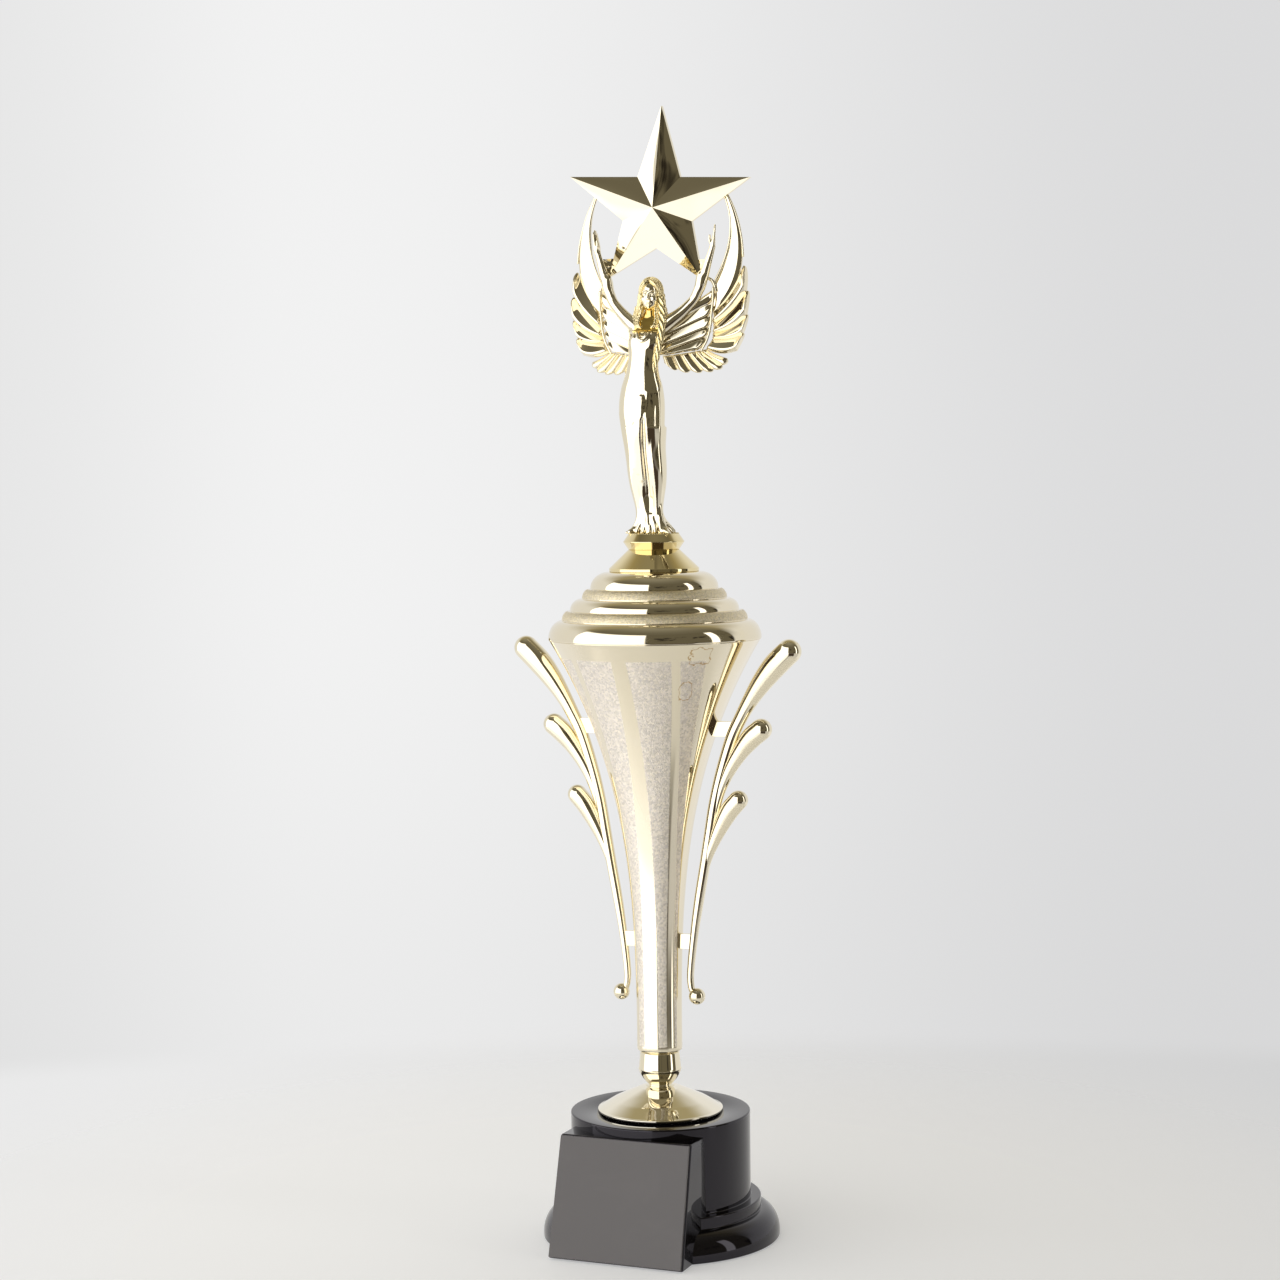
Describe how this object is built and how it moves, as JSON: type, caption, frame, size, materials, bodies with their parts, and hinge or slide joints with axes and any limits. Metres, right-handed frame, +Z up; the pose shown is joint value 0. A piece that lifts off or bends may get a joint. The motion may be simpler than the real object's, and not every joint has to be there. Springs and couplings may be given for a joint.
{
  "type": "star trophy",
  "caption": "Tall award cup on a round plinth with a plaque, scroll handles and a lift-off lid that carries a winged figure holding up a large star.",
  "frame": {"origin": "on the floor under the middle of the plinth", "axes": "+Z up along the cup, -Y is the front that the plaque and the star face, +X is to the right seen from the front"},
  "size_m": [0.129, 0.1033, 0.4755],
  "materials": {
    "gold_polished": "vacuum-metallised pale gold, mirror polished",
    "gold_frosted": "vacuum-metallised pale gold, with frosted panels between polished strips",
    "gold_deep": "vacuum-metallised warmer gold, polished",
    "black_gloss": "glossy black moulded plastic",
    "plate_grey": "glossy dark grey plate",
    "foam_tape": "double-sided foam tape",
    "felt": "dark felt",
    "cover_board": "matte black board",
    "ballast": "rough grey casting",
    "steel": "zinc-plated steel"
  },
  "bodies": {
    "root": {"felt_pad": "felt", "base_cover": "cover_board", "base_weight": "ballast", "base_shell": "black_gloss", "plaque_box": "black_gloss", "plate_tape": "foam_tape", "name_plate": "plate_grey", "tie_rod": "steel", "lower_washer": "steel", "lower_nut": "steel", "upper_washer": "steel", "upper_nut": "steel", "foot_skirt": "gold_polished", "stem_knob": "gold_polished", "cup_body": "gold_frosted", "handle_left": "gold_polished", "handle_right": "gold_polished"},
    "lid": {"lid_shell": "gold_polished", "riser_cone": "gold_deep", "figure_collar": "gold_deep", "figure_stud": "steel", "figure_washer": "steel", "figure_nut": "steel", "figure_body": "gold_polished", "wing_left": "gold_polished", "wing_right": "gold_polished", "star": "gold_polished"}
  },
  "joints": [
    {"name": "lid_lift", "type": "slide", "parent": "root", "child": "lid", "axis": [0, 0, 1], "range_m": [0, 0.1]}
  ]
}
